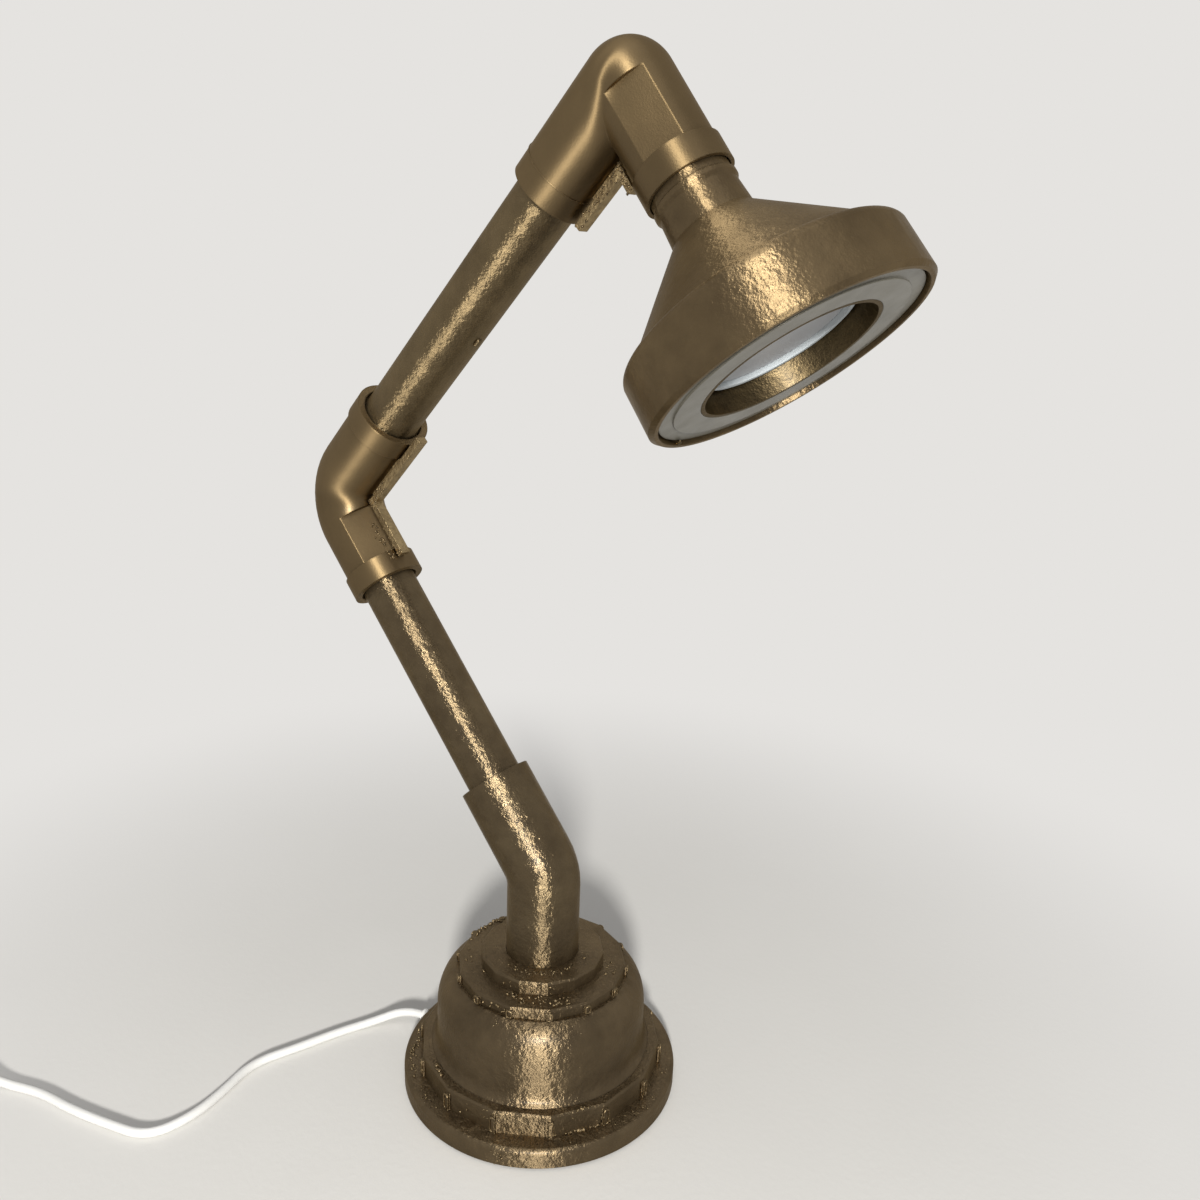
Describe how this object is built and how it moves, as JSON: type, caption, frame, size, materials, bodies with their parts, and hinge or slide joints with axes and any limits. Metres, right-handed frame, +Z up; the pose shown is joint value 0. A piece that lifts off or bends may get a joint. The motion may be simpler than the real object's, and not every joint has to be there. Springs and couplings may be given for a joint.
{
  "type": "desk lamp",
  "caption": "Bronze-painted desk lamp made of pipe fittings, with a stepped round foot, angled arms, a bell-shaped shade and a white cord.",
  "frame": {"origin": "centre of the round foot's underside, on the table", "axes": "+Z up, +X the way the shade points"},
  "size_m": [0.377, 0.2242, 0.3493],
  "materials": {
    "foot_print": "matte",
    "fitting": "satin",
    "pipe": "satin",
    "shade_print": "satin",
    "ring_grey": "matte",
    "cup_white": "matte",
    "frosted": "matte",
    "led_yellow": "satin",
    "sink_metal": "matte",
    "steel": "satin",
    "washer_brass": "satin",
    "pad_rubber": "matte",
    "cord_white": "satin",
    "switch_white": "satin",
    "plug_metal": "polished",
    "tongue_plastic": "satin"
  },
  "bodies": {
    "base": {"base_pad": "pad_rubber", "bottom_cover": "steel", "cover_screws": "steel", "base_flange": "foot_print", "base_lower_ring": "foot_print", "base_dome": "foot_print", "base_upper_ring": "foot_print", "base_collar": "foot_print", "swivel_washer": "washer_brass", "ballast_weight": "steel", "wire_connector": "switch_white", "wire_in_base": "cord_white", "cord_gland": "cord_white", "cord_inside": "cord_white", "cord_visible": "cord_white", "switch_housing": "switch_white", "cord_coil": "cord_white", "cord_tail": "cord_white", "plug_body": "switch_white", "plug_shell": "plug_metal", "plug_tongue": "tongue_plastic"},
    "lower_arm": {"base_bend": "fitting", "lower_arm_pipe": "pipe", "wire_in_lower_arm": "cord_white"},
    "upper_arm": {"middle_elbow": "fitting", "middle_elbow_cover": "fitting", "upper_arm_pipe": "pipe", "wire_in_upper_arm": "cord_white"},
    "top_elbow": {"top_elbow": "fitting", "top_elbow_cover": "fitting", "wire_in_top_elbow": "cord_white"},
    "head": {"lamp_shade": "shade_print", "inner_sleeve": "shade_print", "face_ring": "ring_grey", "lamp_cup": "cup_white", "diffuser": "frosted", "led_board": "cup_white", "led_chips": "led_yellow", "heat_sink": "sink_metal", "wire_in_head": "cord_white"},
    "rocker": {"switch_rocker": "switch_white"}
  },
  "joints": [
    {"name": "base_swivel", "type": "hinge", "parent": "base", "child": "lower_arm", "pos_m": [0, 0, 0.0405], "axis": [0, 0, 1], "range_deg": [-170, 170]},
    {"name": "lower_arm_twist", "type": "hinge", "parent": "lower_arm", "child": "upper_arm", "pos_m": [-0.0785, 0, 0.17274], "axis": [-0.6613, 0, 0.7501], "range_deg": [-90, 90]},
    {"name": "upper_arm_twist", "type": "hinge", "parent": "upper_arm", "child": "top_elbow", "pos_m": [-0.00321, 0, 0.30915], "axis": [0.6984, 0, 0.7157], "range_deg": [-90, 90]},
    {"name": "head_swivel", "type": "hinge", "parent": "top_elbow", "child": "head", "pos_m": [0.04622, 0, 0.31006], "axis": [0.6239, 0, -0.7815], "range_deg": [-170, 170]},
    {"name": "rocker_tilt", "type": "hinge", "parent": "base", "child": "rocker", "pos_m": [-0.17535, -0.14875, 0.0072], "axis": [-0.4081, 0.9129, 0], "range_deg": [-8, 8]}
  ]
}
